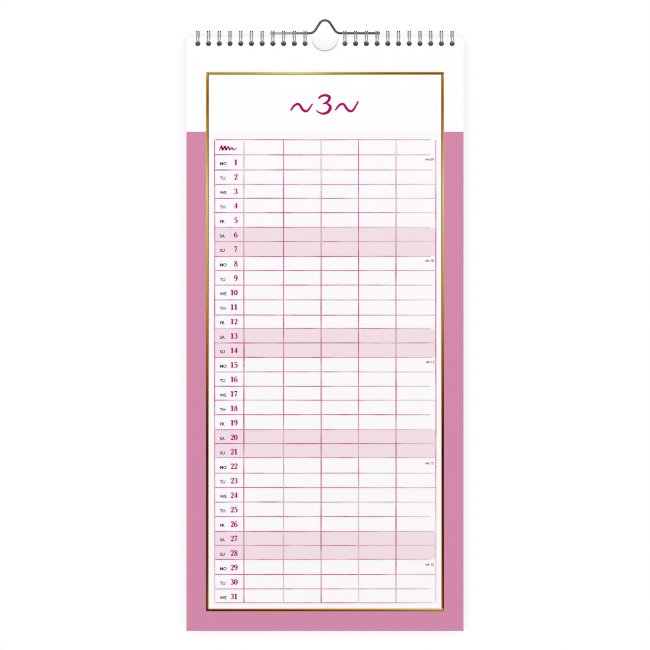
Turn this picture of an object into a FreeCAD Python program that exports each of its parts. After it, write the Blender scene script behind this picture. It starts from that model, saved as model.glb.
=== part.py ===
import FreeCAD, Part

import math
import os
import Sketcher
from FreeCAD import Placement, Rotation, Vector

# Wall calendar: punched leaves and a card back on two twin loop binding wires, hung from a bent wire hanger.
# X runs to the right, Y back towards the wall and Z up. The origin is where the nail carries the hanger:
# the inside of the hump's crown, half way through the wire.

# Driving sizes in millimetres, angles in degrees: name, size, what it is.
SIZES = [
    ("page_width", 210, "leaves and back board, across"),
    ("page_height", 450, "leaves and back board, top to bottom"),
    ("sheet_thick", 0.12, "one leaf of coated paper"),
    ("later_count", 9, "leaves behind the one that shows"),
    ("turned_count", 3, "cover and two leaves turned over to the back"),
    ("board_thick", 0.5, "grey board that closes the back"),
    ("leaf_gap", 0.05, "air between leaves that move apart"),
    ("hole_dia", 4.0, "punched hole"),
    ("hole_edge", 4.7, "hole centre below the top edge"),
    ("hole_pitch", 8.13, "hole to hole"),
    ("inner_hole", 15.1, "innermost hole from the middle"),
    ("edge_margin", 8.5, "outermost hole centre from the side edge, at least"),
    ("thumb_radius", 10.3, "thumb cut in the top edge"),
    ("thumb_drop", 0.45, "centre of the thumb cut below the top edge"),
    ("board_rise", 1.0, "thumb cut of the board higher than that of the leaves"),
    ("wire_dia", 0.88, "binding wire"),
    ("loop_radius", 4.25, "binding loop, at the middle of its wire"),
    ("loop_width", 1.6, "between the two wires of a twin loop"),
    ("bend_radius", 0.8, "bend from a loop into the link beside it"),
    ("stub_length", 1.0, "straight end of the binding wire"),
    ("seam_clear", 0.06, "link to the leaves and to the board"),
    ("tip_clear", 0.1, "loop tip to the bends that it closes on"),
    ("hole_clear", 0.1, "binding wire to the rim of a hole"),
    ("rod_dia", 1.8, "hanger wire"),
    ("rod_clear", 0.2, "hanger wire under the tops of the loops"),
    ("hanger_length", 83.5, "hanger, end to end"),
    ("crown_height", 9.8, "crown of the hump over the straight wire"),
    ("crown_radius", 4.7, "crown of the hump, middle of the wire"),
    ("foot_radius", 5.2, "feet of the hump, middle of the wire"),
    ("flank_angle", 57, "flanks of the hump, from level"),
    ("print_thick", 0.05, "printed fields on the front leaf"),
    ("field_top", 71.6, "top of the pink field below the top edge"),
    ("border_side", 14.8, "gold line from the side edges"),
    ("border_top", 26.2, "gold line from the top edge"),
    ("border_bottom", 14.9, "gold line from the bottom edge"),
    ("border_width", 2.1, "gold line, across its stroke"),
    ("grid_top", 77.65, "first level rule below the top edge"),
    ("room_left", 4.5, "grid to the gold line on its left"),
    ("room_right", 4.1, "grid to the gold line on its right"),
    ("room_below", 4.4, "grid to the gold line below it"),
    ("date_column", 22.1, "column of the day numbers"),
    ("side_column", 30.15, "first and last note column"),
    ("middle_count", 3, "note columns between the first and the last"),
    ("row_count", 32, "heading and 31 days"),
    ("rule_width", 0.8, "brushed rule of the grid"),
    ("rule_drop", 0.5, "most brushed rules under their even place"),
]

# Sizes and places worked out from the driving ones.
WORKED_OUT = [
    ("half_page", "page_width / 2"),
    ("later_thick", "later_count * sheet_thick"),
    ("turned_thick", "turned_count * sheet_thick"),
    ("hole_count", "floor((half_page - edge_margin - inner_hole) / hole_pitch) + 1"),
    ("seam_gap", "wire_dia + 2 * seam_clear"),
    ("front_part", "sheet_thick + leaf_gap + later_thick"),
    ("back_part", "board_thick + leaf_gap + turned_thick"),
    ("half_stack", "(front_part + seam_gap + back_part) / 2"),
    ("front_y", "-half_stack"),
    ("later_y", "front_y + sheet_thick + leaf_gap"),
    ("link_y", "later_y + later_thick + seam_gap / 2"),
    ("board_y", "link_y + seam_gap / 2"),
    ("turned_y", "board_y + board_thick + leaf_gap"),
    ("print_y", "front_y - print_thick"),
    ("rod_z", "rod_dia / 2 - crown_height"),
    ("loop_z", "rod_z + rod_dia / 2 + rod_clear + wire_dia / 2 - loop_radius"),
    ("wire_drop", "sqrt(loop_radius ^ 2 - half_stack ^ 2)"),
    ("hole_play", "hole_dia / 2 - wire_dia / 2 - hole_clear"),
    ("hole_drop", "sqrt(hole_play ^ 2 - (loop_width / 2) ^ 2)"),
    ("page_z", "loop_z - wire_drop - hole_drop + hole_edge"),
    ("board_thumb", "board_rise - thumb_drop"),
    ("half_hanger", "hanger_length / 2"),
    ("crown_centre", "crown_height - crown_radius"),
    ("border_half", "half_page - border_side"),
    ("border_foot", "page_height - border_bottom"),
    ("inner_half", "border_half - border_width"),
    ("inner_top", "border_top + border_width"),
    ("inner_foot", "border_foot - border_width"),
    ("grid_left", "inner_half - room_left"),
    ("grid_width", "2 * inner_half - room_left - room_right"),
    ("grid_height", "inner_foot - room_below - grid_top"),
    ("middle_column", "(grid_width - date_column - 2 * side_column) / middle_count"),
    ("row_height", "grid_height / row_count"),
]

FIRST_WEEKEND = 6  # the month starts on a Monday, so its first weekend is days 6 and 7
WEEK = 7
WEEKENDS = 4

# The rules are brushed by hand. Most lie rule_drop under their even place, and these otherwise, in millimetres.
UNEVEN_RULES = {
    0: 0, 2: 1.0, 3: 1.0, 8: 0.8, 11: 0.8, 12: 1.3, 18: 0, 19: 0.1, 21: 0, 22: -0.3, 27: 0.8, 29: 0.1, 32: 0,
}

doc = FreeCAD.newDocument("wall_calendar")
sheet = doc.addObject("Spreadsheet::Sheet", "sizes")


def fill_sheet():
    """Writes every size to the sheet, with its name beside it and as its alias."""
    rows = [(name, str(size), note) for name, size, note in SIZES]
    rows += [(name, "=" + formula, "worked out") for name, formula in WORKED_OUT]
    for row, (name, content, note) in enumerate(rows, start=1):
        sheet.set(f"A{row}", name)
        sheet.set(f"B{row}", content)
        sheet.setAlias(f"B{row}", name)
        sheet.set(f"C{row}", note)
    doc.recompute()


def size(name):
    """The sheet's value of a name, which may have a minus sign in front."""
    if name == "0":
        return 0.0
    value = float(sheet.get(name.lstrip("-")))
    return -value if name.startswith("-") else value


def formula(name):
    """The same name as an expression on the sheet."""
    if name == "0":
        return "0"
    return "-sizes." + name[1:] if name.startswith("-") else "sizes." + name


def place(obj, along_y="0", along_z="0"):
    """Ties an object's place to the sheet."""
    obj.setExpression("Placement.Base.y", formula(along_y))
    obj.setExpression("Placement.Base.z", formula(along_z))


def plane_sketch(body, name, role):
    """A sketch on one of the body's own origin planes."""
    planes = [feature for feature in body.Origin.OriginFeatures if feature.Role == role]
    sketch = body.newObject("Sketcher::SketchObject", name)
    sketch.AttachmentSupport = (planes[0], [""])
    sketch.MapMode = "FlatFace"
    return sketch


def tie(sketch, kind, *places, to):
    """Adds a constraint whose value is a name of the sheet."""
    index = sketch.addConstraint(Sketcher.Constraint(kind, *places, size(to)))
    sketch.setExpression(f"Constraints[{index}]", formula(to))


def draw_outline(sketch, corners):
    """A closed outline of level and upright lines through corners given by names of the sheet."""
    points = [Vector(size(across), size(up), 0) for across, up in corners]
    first = sketch.GeometryCount
    last = first + len(points) - 1
    for start, end in zip(points, points[1:] + points[:1]):
        sketch.addGeometry(Part.LineSegment(start, end), False)
    for line in range(first, last + 1):
        following = first if line == last else line + 1
        sketch.addConstraint(Sketcher.Constraint("Coincident", line, 2, following, 1))
    for line, (across, up) in enumerate(corners, start=first):
        after_across, after_up = corners[(line - first + 1) % len(corners)]
        level = up == after_up
        sketch.addConstraint(Sketcher.Constraint("Horizontal" if level else "Vertical", line))
        if level:
            tie(sketch, "DistanceX", line, 1, to=across)
        else:
            tie(sketch, "DistanceY", line, 1, to=up)


def draw_circle(sketch, across, up, diameter=None, radius=None):
    """A circle placed and sized by names of the sheet."""
    reach = size(radius) if radius else size(diameter) / 2
    centre = Vector(size(across), size(up), 0)
    circle = sketch.addGeometry(Part.Circle(centre, Vector(0, 0, 1), reach), False)
    tie(sketch, "DistanceX", circle, 3, to=across)
    tie(sketch, "DistanceY", circle, 3, to=up)
    if radius:
        tie(sketch, "Radius", circle, to=radius)
    else:
        tie(sketch, "Diameter", circle, to=diameter)


def pad_back(body, sketch, thickness):
    """Pads a sketch of the XZ plane backwards, along +Y."""
    pad = body.newObject("PartDesign::Pad", sketch.Name + "_pad")
    pad.Profile = sketch
    pad.Reversed = True
    pad.setExpression("Length", formula(thickness))
    doc.recompute()
    return pad


def cut_through(body, sketch):
    """Cuts a sketch of the XZ plane through the whole body."""
    pocket = body.newObject("PartDesign::Pocket", sketch.Name + "_cut")
    pocket.Profile = sketch
    pocket.Type = "ThroughAll"
    pocket.Midplane = True
    doc.recompute()
    return pocket


def make_leaf(name, thickness, along_y, thumb_up="-thumb_drop"):
    """A punched rectangle with the thumb cut in its top edge: a leaf, several leaves or the board."""
    body = doc.addObject("PartDesign::Body", name)
    outline = plane_sketch(body, name + "_outline", "XZ_Plane")
    draw_outline(outline, [
        ("-half_page", "0"), ("-half_page", "-page_height"), ("half_page", "-page_height"), ("half_page", "0"),
    ])
    pad_back(body, outline, thickness)

    thumb = plane_sketch(body, name + "_thumb", "XZ_Plane")
    draw_circle(thumb, "0", thumb_up, radius="thumb_radius")
    cut_through(body, thumb)

    punch = plane_sketch(body, name + "_punch", "XZ_Plane")
    draw_circle(punch, "inner_hole", "-hole_edge", diameter="hole_dia")
    hole = cut_through(body, punch)

    row = doc.addObject("PartDesign::LinearPattern", name + "_row")
    row.Direction = (punch, ["H_Axis"])
    row.setExpression("Length", "sizes.hole_pitch * (sizes.hole_count - 1)")
    row.setExpression("Occurrences", "sizes.hole_count")
    other_side = doc.addObject("PartDesign::Mirrored", name + "_other_side")
    other_side.MirrorPlane = (punch, ["V_Axis"])
    holes = body.newObject("PartDesign::MultiTransform", name + "_holes")
    holes.Originals = [hole]
    body.addObject(row)
    body.addObject(other_side)
    holes.Transformations = [row, other_side]
    body.Tip = holes
    place(body, along_y, "page_z")
    return body


def make_field(name, outlines):
    """A printed field on the front leaf: one or more outlines, the second and later ones left bare."""
    body = doc.addObject("PartDesign::Body", name)
    sketch = plane_sketch(body, name + "_outline", "XZ_Plane")
    for corners in outlines:
        draw_outline(sketch, corners)
    pad_back(body, sketch, "print_thick")
    place(body, "print_y", "page_z")
    return body


def make_pink_print():
    """The pink field runs off the page at the sides and the bottom, and stops at the gold line."""
    return make_field("pink_print", [[
        ("-half_page", "-field_top"), ("-border_half", "-field_top"),
        ("-border_half", "-border_foot"), ("border_half", "-border_foot"),
        ("border_half", "-field_top"), ("half_page", "-field_top"),
        ("half_page", "-page_height"), ("-half_page", "-page_height"),
    ]])


def make_gold_line_print():
    """The gold line is a plain frame."""
    return make_field("gold_line_print", [
        [("-border_half", "-border_top"), ("-border_half", "-border_foot"),
         ("border_half", "-border_foot"), ("border_half", "-border_top")],
        [("-inner_half", "-inner_top"), ("-inner_half", "-inner_foot"),
         ("inner_half", "-inner_foot"), ("inner_half", "-inner_top")],
    ])


def print_box(name, left, top, across, down):
    """A printed rectangle, given by expressions from the middle of the page's top edge."""
    box = doc.addObject("Part::Box", name)
    box.setExpression("Length", across)
    box.setExpression("Width", "sizes.print_thick")
    box.setExpression("Height", down)
    box.setExpression("Placement.Base.x", left)
    box.setExpression("Placement.Base.y", "sizes.print_y")
    box.setExpression("Placement.Base.z", f"sizes.page_z - ({top}) - ({down})")
    return box


def rule_place(row):
    """How far a level rule lies below the page's top edge, as an expression."""
    drop = UNEVEN_RULES.get(row, "sizes.rule_drop")
    return f"sizes.grid_top + {row} * sizes.row_height + {drop}"


def make_grid_line_print():
    """The grid's rules: level ones at every row, upright ones at the edges of the columns."""
    half = "sizes.rule_width / 2"
    rules = []
    for row in range(int(size("row_count")) + 1):
        rules.append(print_box(
            f"level_rule_{row}", f"-sizes.grid_left - {half}",
            f"{rule_place(row)} - {half}",
            "sizes.grid_width + sizes.rule_width", "sizes.rule_width",
        ))
    columns = ["0", "sizes.date_column", "sizes.date_column + sizes.side_column"]
    for extra in range(int(size("middle_count"))):
        columns.append(f"{columns[2]} + {extra + 1} * sizes.middle_column")
    columns.append("sizes.grid_width")
    for number, column in enumerate(columns):
        rules.append(print_box(
            f"upright_rule_{number}", f"-sizes.grid_left + {column} - {half}",
            f"sizes.grid_top - {half}",
            "sizes.rule_width", "sizes.grid_height + sizes.rule_width",
        ))
    grid = doc.addObject("Part::MultiFuse", "grid_line_print")
    grid.Shapes = rules
    grid.Refine = True
    doc.recompute()
    return grid


def make_weekend_print(grid):
    """Pale bands behind the weekends' rows, between the rules."""
    bands = []
    for weekend in range(WEEKENDS):
        first_row = FIRST_WEEKEND + WEEK * weekend
        top = rule_place(first_row)
        bands.append(print_box(
            f"weekend_{weekend + 1}", "-sizes.grid_left", top,
            "sizes.grid_width", f"{rule_place(first_row + 2)} - ({top})",
        ))
    together = doc.addObject("Part::MultiFuse", "weekend_bands")
    together.Shapes = bands
    cells = doc.addObject("Part::Cut", "weekend_print")
    cells.Base = together
    cells.Tool = grid
    doc.recompute()
    return cells


def make_hanger():
    """A straight wire with a hump for the nail: level, foot, flank, crown and the same again."""
    body = doc.addObject("PartDesign::Body", "hanger_wire")
    path = plane_sketch(body, "hanger_path", "XZ_Plane")
    half = size("half_hanger")
    crown = size("crown_radius")
    foot = size("foot_radius")
    turn = math.radians(size("flank_angle"))
    crown_end = Vector(crown * math.sin(turn), size("crown_centre") + crown * math.cos(turn), 0)
    foot_top = foot * (1 - math.cos(turn))
    foot_end = Vector(crown_end.x + (crown_end.y - foot_top) / math.tan(turn), foot_top, 0)
    foot_start = Vector(foot_end.x + foot * math.sin(turn), 0, 0)
    foot_middle = Vector(
        foot_start.x - foot * math.sin(turn / 2), foot * (1 - math.cos(turn / 2)), 0)

    def mirrored(point):
        return Vector(-point.x, point.y, 0)

    pieces = [
        Part.LineSegment(Vector(-half, 0, 0), mirrored(foot_start)),
        Part.Arc(mirrored(foot_start), mirrored(foot_middle), mirrored(foot_end)),
        Part.LineSegment(mirrored(foot_end), mirrored(crown_end)),
        Part.Arc(mirrored(crown_end), Vector(0, size("crown_height"), 0), crown_end),
        Part.LineSegment(crown_end, foot_end),
        Part.Arc(foot_end, foot_middle, foot_start),
        Part.LineSegment(foot_start, Vector(half, 0, 0)),
    ]
    level_left, foot_left, flank_left, crown_arc, flank_right, foot_right, level_right = range(7)
    for piece in pieces:
        path.addGeometry(piece, False)
    # An arc's start and end follow its own turn, which is to the left: a foot on the left starts at its
    # lower end, a crown on the right.
    joins = [
        (level_left, 2, foot_left, 1), (foot_left, 2, flank_left, 1), (flank_left, 2, crown_arc, 2),
        (crown_arc, 1, flank_right, 1), (flank_right, 2, foot_right, 1), (foot_right, 2, level_right, 1),
    ]
    for join in joins:
        path.addConstraint(Sketcher.Constraint("Tangent", *join))
    for line in (level_left, level_right):
        path.addConstraint(Sketcher.Constraint("Horizontal", line))
    tie(path, "DistanceX", level_left, 1, to="-half_hanger")
    tie(path, "DistanceX", level_right, 2, to="half_hanger")
    path.addConstraint(Sketcher.Constraint("PointOnObject", level_left, 1, -1))
    path.addConstraint(Sketcher.Constraint("PointOnObject", level_right, 2, -1))
    path.addConstraint(Sketcher.Constraint("PointOnObject", crown_arc, 3, -2))
    tie(path, "DistanceY", crown_arc, 3, to="crown_centre")
    tie(path, "Radius", crown_arc, to="crown_radius")
    tie(path, "Radius", foot_left, to="foot_radius")
    tie(path, "Radius", foot_right, to="foot_radius")
    for line, sign in ((flank_left, ""), (flank_right, "-")):
        angle = path.addConstraint(Sketcher.Constraint("Angle", line, math.radians(size(sign + "flank_angle"))))
        path.setExpression(f"Constraints[{angle}]", sign + "sizes.flank_angle * 1 deg")

    section = plane_sketch(body, "hanger_section", "YZ_Plane")
    section.setExpression("AttachmentOffset.Base.z", "-sizes.half_hanger")
    draw_circle(section, "0", "0", diameter="rod_dia")
    doc.recompute()
    pipe = body.newObject("PartDesign::AdditivePipe", "hanger_pipe")
    pipe.Profile = section
    pipe.Spine = path
    place(body, "0", "rod_z")
    return body


def loop_point(across, turn):
    """A point of a loop at X across, turned from its lowest point forwards and up."""
    radius = size("loop_radius")
    return Vector(across, -radius * math.sin(turn), size("loop_z") - radius * math.cos(turn))


def loop_heading(turn):
    """The loop's direction there, towards greater turns."""
    return Vector(0, -math.cos(turn), math.sin(turn))


def loop_arc(across, start, end):
    """The stretch of a loop between two turns."""
    middle = loop_point(across, (start + end) / 2)
    return Part.Arc(loop_point(across, start), middle, loop_point(across, end)).toShape()


def loop_stretch(across, start, end):
    """The stretch of a loop between two turns, as three arcs under half a circle each."""
    steps = [start + (end - start) * part / 3 for part in range(4)]
    return [loop_arc(across, first, second) for first, second in zip(steps, steps[1:])]


def quarter_bend(first, corner, second):
    """A quarter circle that leaves the line first-corner and joins the line corner-second."""
    inner = first + second - corner
    middle = inner + (corner - inner).normalize() * (first - corner).Length
    return Part.Arc(first, middle, second).toShape()


def binding_path(side):
    """The middle of one binding wire, from end to end, for the left side (-1) or the right side (1)."""
    radius = size("loop_radius")
    bend = size("bend_radius")
    half_width = size("loop_width") / 2
    link_y = size("link_y")
    # The root is where a bend turns into the loop, so that the link beyond the bend lies in the seam.
    root = math.acos(link_y / math.hypot(radius, bend)) - math.atan2(radius, bend)
    # The tip is the middle of the round end, as far behind the link as its wire and the bends' wires need.
    reach = half_width + bend
    nest = math.sqrt((reach + size("wire_dia") + size("tip_clear")) ** 2 - reach ** 2) - bend
    tip = 2 * math.pi - math.asin((link_y + nest) / radius)
    back = loop_heading(root) * -bend
    forward = loop_heading(tip) * half_width

    count = int(size("hole_count"))
    middles = [side * (size("inner_hole") + number * size("hole_pitch")) for number in range(count)]
    middles.sort()
    edges = []
    outside = middles[0] - half_width - bend - size("stub_length")
    for middle in middles:
        left = middle - half_width
        right = middle + half_width
        level = loop_point(0, root) + back
        enter = Vector(left - bend, level.y, level.z)
        leave = Vector(right + bend, level.y, level.z)
        edges.append(Part.LineSegment(Vector(outside, level.y, level.z), enter).toShape())
        edges.append(quarter_bend(enter, Vector(left, level.y, level.z), loop_point(left, root)))
        edges.extend(loop_stretch(left, root, tip))
        round_end = loop_point(middle, tip) + forward
        edges.append(Part.Arc(loop_point(left, tip), round_end, loop_point(right, tip)).toShape())
        edges.extend(loop_stretch(right, tip, root))
        edges.append(quarter_bend(loop_point(right, root), Vector(right, level.y, level.z), leave))
        outside = leave.x
    end = Vector(outside + size("stub_length"), leave.y, leave.z)
    edges.append(Part.LineSegment(leave, end).toShape())
    return Part.Wire(edges)


def make_binding_wire(name, side):
    """One bent wire: eleven twin loops joined by links in the seam."""
    path = binding_path(side)
    start = path.Edges[0].Vertexes[0].Point
    circle = Part.Circle(start, Vector(1, 0, 0), size("wire_dia") / 2)
    shape = path.makePipe(Part.Face(Part.Wire([circle.toShape()])))
    if shape.ShapeType != "Solid":
        shape = shape.Solids[0]
    section = math.pi * size("wire_dia") ** 2 / 4
    print(f"{name}: length {path.Length:.1f} mm, volume {shape.Volume:.2f}, section x length {section * path.Length:.2f}")
    wire = doc.addObject("Part::Feature", name)
    wire.Shape = shape
    wire.Placement = Placement(Vector(0, 0, 0), Rotation())
    return wire


def check_and_write(subparts):
    """Stops on any object that failed, then writes each sub-part's solid."""
    for obj in doc.Objects:
        if "Invalid" in obj.State or "Error" in obj.State:
            raise RuntimeError(f"{obj.Label} failed: {obj.State}")
    for obj in subparts:
        if obj.Shape.isNull() or not obj.Shape.isValid() or not obj.Shape.Solids:
            raise RuntimeError(f"{obj.Label} has no valid shape")
    os.makedirs("parts", exist_ok=True)
    for obj in subparts:
        obj.Shape.exportStep(f"parts/{obj.Label}.step")
        box = obj.Shape.BoundBox
        print(f"{obj.Label}: {len(obj.Shape.Solids)} solids, {obj.Shape.Volume:.1f} mm3, "
              f"X {box.XMin:.2f} {box.XMax:.2f}, Y {box.YMin:.2f} {box.YMax:.2f}, Z {box.ZMin:.2f} {box.ZMax:.2f}")


def main():
    fill_sheet()
    grid = make_grid_line_print()
    subparts = [
        make_hanger(),
        make_binding_wire("left_binding_wire", -1),
        make_binding_wire("right_binding_wire", 1),
        make_leaf("front_sheet", "sheet_thick", "front_y"),
        make_leaf("later_sheets", "later_thick", "later_y"),
        make_leaf("back_board", "board_thick", "board_y", "board_thumb"),
        make_leaf("turned_sheets", "turned_thick", "turned_y"),
        make_pink_print(),
        make_gold_line_print(),
        grid,
        make_weekend_print(grid),
    ]
    doc.recompute()
    check_and_write(subparts)


main()
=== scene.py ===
import math
import random

import bmesh
import bpy
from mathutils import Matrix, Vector, noise


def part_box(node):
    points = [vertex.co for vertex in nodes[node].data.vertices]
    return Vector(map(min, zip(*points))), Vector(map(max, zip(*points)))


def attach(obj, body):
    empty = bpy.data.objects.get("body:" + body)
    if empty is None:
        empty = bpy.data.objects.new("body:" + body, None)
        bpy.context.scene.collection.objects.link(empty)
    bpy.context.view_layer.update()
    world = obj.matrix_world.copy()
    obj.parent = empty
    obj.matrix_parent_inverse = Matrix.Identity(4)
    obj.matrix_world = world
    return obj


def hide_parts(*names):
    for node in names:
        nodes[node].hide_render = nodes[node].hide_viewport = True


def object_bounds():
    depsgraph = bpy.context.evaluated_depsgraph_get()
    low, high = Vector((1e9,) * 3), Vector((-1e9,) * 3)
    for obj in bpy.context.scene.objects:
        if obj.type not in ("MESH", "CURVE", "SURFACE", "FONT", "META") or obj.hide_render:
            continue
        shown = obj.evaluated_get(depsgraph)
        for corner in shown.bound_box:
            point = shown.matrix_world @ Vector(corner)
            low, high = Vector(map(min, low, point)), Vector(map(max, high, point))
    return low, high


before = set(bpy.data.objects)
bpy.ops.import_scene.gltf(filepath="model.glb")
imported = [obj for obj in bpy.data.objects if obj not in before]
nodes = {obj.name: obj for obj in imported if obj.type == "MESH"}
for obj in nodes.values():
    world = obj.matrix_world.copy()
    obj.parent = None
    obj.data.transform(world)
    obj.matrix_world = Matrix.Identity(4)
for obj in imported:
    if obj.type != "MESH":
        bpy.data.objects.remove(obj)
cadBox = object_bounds()
print("frame loaded:", len(nodes), "pieces")

mm = 0.001
weekDays = 7

# Places that the frame gives
sheetLow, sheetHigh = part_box("front_sheet")
inkFace = sheetLow.y  # the printed side of the front leaf
borderLow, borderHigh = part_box("gold_line_print")
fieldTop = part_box("pink_print")[1].z


def screenColour(red, green, blue):  # a colour as a screen shows it, 0 to 255, as the shader wants it
    def straight(part):
        part /= 255
        return part / 12.92 if part <= 0.04045 else ((part + 0.055) / 1.055) ** 2.4
    return (straight(red), straight(green), straight(blue), 1.0)


def grey(level):
    return (level, level, level, 1.0)


sameEdge = 0.1 * mm  # corners nearer than this lie on one edge


def edgePlaces(name, axis):  # where a printed node's edges lie along an axis
    edges = []
    for vert in sorted(nodes[name].data.vertices, key=lambda vert: vert.co[axis]):
        if not edges or vert.co[axis] - edges[-1] > sameEdge:
            edges.append(vert.co[axis])
    return edges


# Shader sums written as Python sums

class Signal:
    def __init__(self, recipe, socket):
        self.recipe = recipe
        self.socket = socket

    def sum(self, operation, first, second):
        return self.recipe.add("ShaderNodeMath", {"operation": operation}, {0: first, 1: second})

    def __add__(self, other):
        return self.sum("ADD", self, other)

    def __radd__(self, other):
        return self.sum("ADD", other, self)

    def __sub__(self, other):
        return self.sum("SUBTRACT", self, other)

    def __rsub__(self, other):
        return self.sum("SUBTRACT", other, self)

    def __mul__(self, other):
        return self.sum("MULTIPLY", self, other)

    def __rmul__(self, other):
        return self.sum("MULTIPLY", other, self)

    def __truediv__(self, other):
        return self.sum("DIVIDE", self, other)

    def __lt__(self, other):
        return self.sum("LESS_THAN", self, other)

    def __gt__(self, other):
        return self.sum("GREATER_THAN", self, other)

    def clamped(self):
        return self.recipe.add("ShaderNodeClamp", {}, {"Value": self})

    def size(self):
        return self.recipe.add("ShaderNodeMath", {"operation": "ABSOLUTE"}, {0: self})


class Recipe:
    def __init__(self, name):
        self.material = bpy.data.materials.new(name)
        self.material.use_nodes = True
        self.tree = self.material.node_tree
        self.tree.nodes.clear()
        self.output = self.tree.nodes.new("ShaderNodeOutputMaterial")

    def add(self, kind, settings, inputs, output=0):
        node = self.tree.nodes.new(kind)
        for name, value in settings.items():
            if name == "stops":
                ramp = node.color_ramp
                while len(ramp.elements) < len(value):
                    ramp.elements.new(0.5)
                for element, (place, colour) in zip(ramp.elements, value):
                    element.position = place
                    element.color = colour
            else:
                setattr(node, name, value)
        for name, value in inputs.items():
            if isinstance(value, Signal):
                self.tree.links.new(value.socket, node.inputs[name])
            else:
                node.inputs[name].default_value = value
        return Signal(self, node.outputs[output])

    def place(self):  # where a point lies in the row frame, as its three numbers
        point = self.add("ShaderNodeTexCoord", {}, {}, "Object")
        parts = [self.add("ShaderNodeSeparateXYZ", {}, {"Vector": point}, axis) for axis in range(3)]
        return point, parts

    def grain(self, point, scale, detail=3.0, stretch=(1, 1, 1)):
        stretched = self.add("ShaderNodeMapping", {}, {"Vector": point, "Scale": stretch})
        return self.add("ShaderNodeTexNoise", {}, {"Vector": stretched, "Scale": scale, "Detail": detail}, "Fac")

    def mix(self, amount, first, second):
        settings = {"data_type": "RGBA"}
        return self.add("ShaderNodeMix", settings, {"Factor": amount, 6: first, 7: second}, 2)

    def bump(self, height, strength, distance):
        return self.add("ShaderNodeBump", {}, {"Height": height, "Strength": strength, "Distance": distance})

    def finish(self, **inputs):
        shader = self.add("ShaderNodeBsdfPrincipled", {}, inputs)
        self.tree.links.new(shader.socket, self.output.inputs["Surface"])
        return self.material


# Materials

paper = {
    "white": screenColour(254, 254, 254),
    "shade": screenColour(249, 249, 248),
    "back": screenColour(243, 243, 242),
    "panelTint": screenColour(251, 249, 252),
    "fibreScale": 900.0,
    "fibreStretch": (1, 1, 0.35),
    "fibreShade": 0.12,
    "fibreRelief": 0.35,
    "fibreDepth": 0.004 * mm,
    "roughness": 0.55,
    "roughSway": 0.12,
}


def paperSurface(recipe, base):
    point, _ = recipe.place()
    fibres = recipe.grain(point, paper["fibreScale"], stretch=paper["fibreStretch"])
    tone = recipe.mix(fibres * paper["fibreShade"], base, paper["shade"])
    rough = paper["roughness"] + (fibres - 0.5) * paper["roughSway"]
    height = recipe.bump(fibres, paper["fibreRelief"], paper["fibreDepth"])
    return tone, rough, height


def coatedPaper():  # the front leaf: a very faint tint lies inside the gold line beside the grid
    recipe = Recipe("coated_paper")
    _, (across, _, up) = recipe.place()
    inside = (across.size() < borderHigh.x) * (up < fieldTop) * (up > borderLow.z)
    base = recipe.mix(inside, paper["white"], paper["panelTint"])
    tone, rough, height = paperSurface(recipe, base)
    return recipe.finish(**{"Base Color": tone, "Roughness": rough, "Normal": height})


def plainPaper(name, colour):
    recipe = Recipe(name)
    base = recipe.add("ShaderNodeRGB", {}, {})
    base.socket.default_value = colour
    tone, rough, height = paperSurface(recipe, base)
    return recipe.finish(**{"Base Color": tone, "Roughness": rough, "Normal": height})


nextLeaf = {  # what the leaf behind the one that shows has printed on it, seen only when that one is lifted
    "pink": screenColour(211, 137, 170),
    "gold": screenColour(164, 112, 40),
    "weekend": screenColour(241, 221, 230),
    "rule": screenColour(222, 156, 182),
    "printDepth": 0.03 * mm,
    "firstWeekend": 3,  # its first day
    "days": 30,
}


def nextLeafPaper():
    recipe = Recipe("later_paper")
    _, (across, depth, up) = recipe.place()

    def within(halfWidth, high, low):
        return (across.size() < halfWidth) * (up < high) * (up > low)

    def repeated(amount):
        return recipe.add("ShaderNodeMath", {"operation": "FRACT"}, {0: amount})

    columns, wide = ruleMiddles(0)
    rows, _ = ruleMiddles(2)
    rowHeight = (rows[-1] - rows[0]) / (len(rows) - 1)
    edges = edgePlaces("gold_line_print", 0)
    line = edges[1] - edges[0]
    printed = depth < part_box("later_sheets")[0].y + nextLeaf["printDepth"]
    frameInside = within(borderHigh.x, borderHigh.z, borderLow.z)
    lineInside = within(borderHigh.x - line, borderHigh.z - line, borderLow.z + line)
    grid = (across > columns[0]) * (across < columns[-1]) * (up < rows[-1]) * (up > rows[0])
    day = (rows[-1] - up) / rowHeight
    sinceFirst = (day - nextLeaf["firstWeekend"]) / weekDays
    weekend = grid * (repeated(sinceFirst) < 2 / weekDays) * (day < nextLeaf["days"] + 1)
    rule = grid * (repeated(day) < wide / rowHeight)
    for column in columns:
        rule = rule + ((across - column).size() < wide / 2) * (up < rows[-1]) * (up > rows[0])
    tone = recipe.mix(printed * (up < fieldTop) * (1 - frameInside), paper["white"], nextLeaf["pink"])
    tone = recipe.mix(printed * frameInside * (1 - lineInside), tone, nextLeaf["gold"])
    tone = recipe.mix(printed * weekend, tone, nextLeaf["weekend"])
    tone = recipe.mix(printed * rule.clamped(), tone, nextLeaf["rule"])
    tone, rough, height = paperSurface(recipe, tone)
    return recipe.finish(**{"Base Color": tone, "Roughness": rough, "Normal": height})


greyCard = {
    "pale": screenColour(206, 205, 202),
    "dark": screenColour(184, 183, 180),
    "speck": screenColour(140, 138, 134),
    "fibreScale": 420.0,
    "fibreStretch": (0.4, 1, 1),
    "speckScale": 1500.0,
    "speckAbove": 0.7,
    "speckStrength": 0.6,
    "relief": 0.6,
    "depth": 0.02 * mm,
    "roughness": 0.9,
}


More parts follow.
